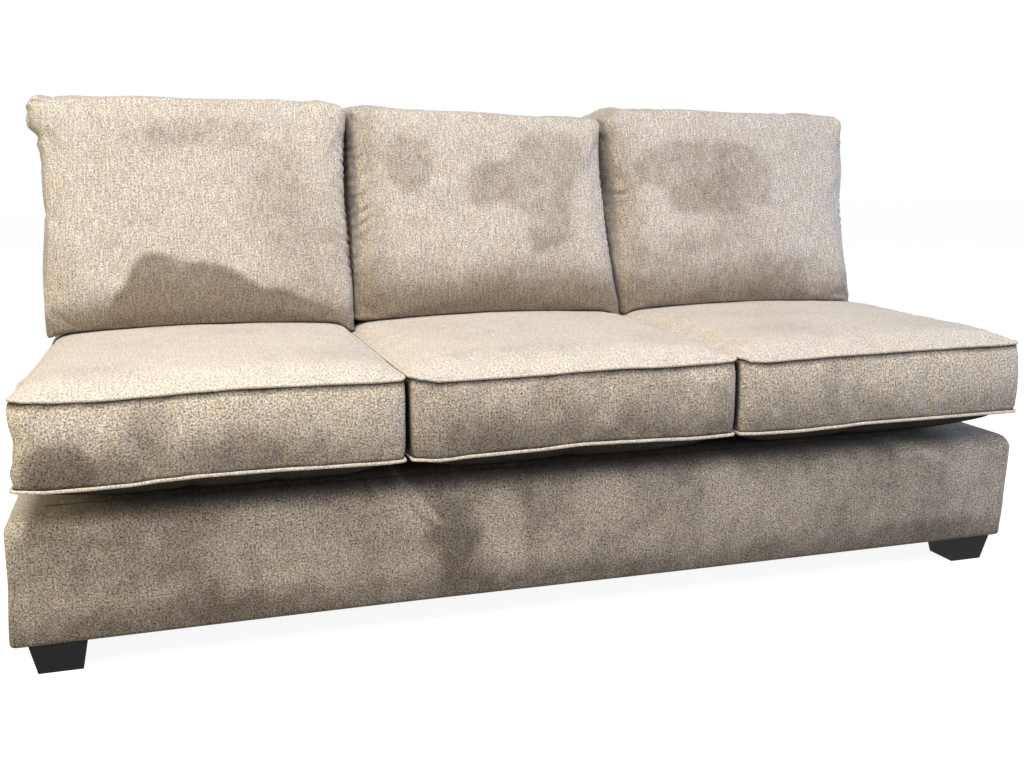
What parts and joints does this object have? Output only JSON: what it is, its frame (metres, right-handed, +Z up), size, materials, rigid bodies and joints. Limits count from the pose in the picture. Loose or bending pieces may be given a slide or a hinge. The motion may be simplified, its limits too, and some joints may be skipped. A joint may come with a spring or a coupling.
{
  "type": "armless sofa",
  "caption": "Upholstered armless sofa on tapered block legs: loose welted seat cushions pull out forward and loose zipped back cushions lean on a raked, webbed back.",
  "frame": {"origin": "on the floor, at the middle of the sofa's footprint (the bottom centre of its bounding box)", "axes": "+X runs along the sofa to the right of someone facing it, the seat faces -Y, +Z is up"},
  "size_m": [1.964, 0.938, 0.9766],
  "materials": {
    "seat_fabric": "matte",
    "back_fabric": "matte",
    "base_fabric": "matte",
    "welt_fabric": "matte",
    "deck_fabric": "matte",
    "dust_cloth": "matte",
    "foam": "matte",
    "fibre_fill": "matte",
    "felt": "matte",
    "webbing": "matte",
    "frame_wood": "matte",
    "leg_wood": "satin",
    "backing_board": "matte",
    "spring_steel": "satin",
    "zinc_steel": "satin",
    "zip_nylon": "matte",
    "zip_metal": "satin"
  },
  "bodies": {
    "sofa_frame": {"front_rail": "frame_wood", "end_rail_left": "frame_wood", "end_rail_right": "frame_wood", "rear_rail": "frame_wood", "spring_rail": "frame_wood", "cross_rail_left": "frame_wood", "cross_rail_right": "frame_wood", "back_post_left": "frame_wood", "back_stile_left": "frame_wood", "back_stile_right": "frame_wood", "back_post_right": "frame_wood", "tack_rail": "frame_wood", "back_top_rail": "frame_wood", "corner_blocks": "frame_wood", "leg_front_left": "leg_wood", "leg_front_right": "leg_wood", "leg_rear_left": "leg_wood", "leg_rear_right": "leg_wood", "leg_fixings": "zinc_steel", "seat_springs": "spring_steel", "tie_wires": "spring_steel", "spring_clips": "zinc_steel", "spring_insulator": "felt", "deck_foam": "foam", "deck_cloth": "deck_fabric", "base_padding": "foam", "base_cover": "base_fabric", "dust_cover": "dust_cloth", "back_webbing": "webbing", "back_padding": "foam", "inside_back_cover": "base_fabric", "outside_back_board": "backing_board", "outside_back_cover": "base_fabric"},
    "seat_cushion_left": {"seat_cover_left": "seat_fabric", "seat_core_left": "foam", "seat_welts_left": "welt_fabric", "seat_zip_left": "zip_nylon"},
    "seat_zip_pull_left": {"seat_zip_slider_left": "zip_metal"},
    "seat_cushion_middle": {"seat_cover_middle": "seat_fabric", "seat_core_middle": "foam", "seat_welts_middle": "welt_fabric", "seat_zip_middle": "zip_nylon"},
    "seat_zip_pull_middle": {"seat_zip_slider_middle": "zip_metal"},
    "seat_cushion_right": {"seat_cover_right": "seat_fabric", "seat_core_right": "foam", "seat_welts_right": "welt_fabric", "seat_zip_right": "zip_nylon"},
    "seat_zip_pull_right": {"seat_zip_slider_right": "zip_metal"},
    "back_cushion_left": {"back_cover_left": "back_fabric", "back_fill_left": "fibre_fill", "back_zip_left": "zip_nylon"},
    "back_zip_pull_left": {"back_zip_slider_left": "zip_metal"},
    "back_cushion_middle": {"back_cover_middle": "back_fabric", "back_fill_middle": "fibre_fill", "back_zip_middle": "zip_nylon"},
    "back_zip_pull_middle": {"back_zip_slider_middle": "zip_metal"},
    "back_cushion_right": {"back_cover_right": "back_fabric", "back_fill_right": "fibre_fill", "back_zip_right": "zip_nylon"},
    "back_zip_pull_right": {"back_zip_slider_right": "zip_metal"}
  },
  "joints": [
    {"name": "seat_cushion_left_pull", "type": "slide", "parent": "sofa_frame", "child": "seat_cushion_left", "axis": [0, -1, 0], "range_m": [0, 0.72]},
    {"name": "seat_cushion_middle_pull", "type": "slide", "parent": "sofa_frame", "child": "seat_cushion_middle", "axis": [0, -1, 0], "range_m": [0, 0.72]},
    {"name": "seat_cushion_right_pull", "type": "slide", "parent": "sofa_frame", "child": "seat_cushion_right", "axis": [0, -1, 0], "range_m": [0, 0.72]},
    {"name": "back_cushion_left_pull", "type": "slide", "parent": "sofa_frame", "child": "back_cushion_left", "axis": [0, -0.9744, 0.225], "range_m": [0, 0.3]},
    {"name": "back_cushion_middle_pull", "type": "slide", "parent": "sofa_frame", "child": "back_cushion_middle", "axis": [0, -0.9744, 0.225], "range_m": [0, 0.3]},
    {"name": "back_cushion_right_pull", "type": "slide", "parent": "sofa_frame", "child": "back_cushion_right", "axis": [0, -0.9744, 0.225], "range_m": [0, 0.3]},
    {"name": "seat_zip_left_slide", "type": "slide", "parent": "seat_cushion_left", "child": "seat_zip_pull_left", "axis": [1, 0, 0], "range_m": [0, 0.44]},
    {"name": "seat_zip_middle_slide", "type": "slide", "parent": "seat_cushion_middle", "child": "seat_zip_pull_middle", "axis": [1, 0, 0], "range_m": [0, 0.44]},
    {"name": "seat_zip_right_slide", "type": "slide", "parent": "seat_cushion_right", "child": "seat_zip_pull_right", "axis": [1, 0, 0], "range_m": [0, 0.44]},
    {"name": "back_zip_left_slide", "type": "slide", "parent": "back_cushion_left", "child": "back_zip_pull_left", "axis": [1, 0, 0], "range_m": [0, 0.4]},
    {"name": "back_zip_middle_slide", "type": "slide", "parent": "back_cushion_middle", "child": "back_zip_pull_middle", "axis": [1, 0, 0], "range_m": [0, 0.4]},
    {"name": "back_zip_right_slide", "type": "slide", "parent": "back_cushion_right", "child": "back_zip_pull_right", "axis": [1, 0, 0], "range_m": [0, 0.4]}
  ]
}
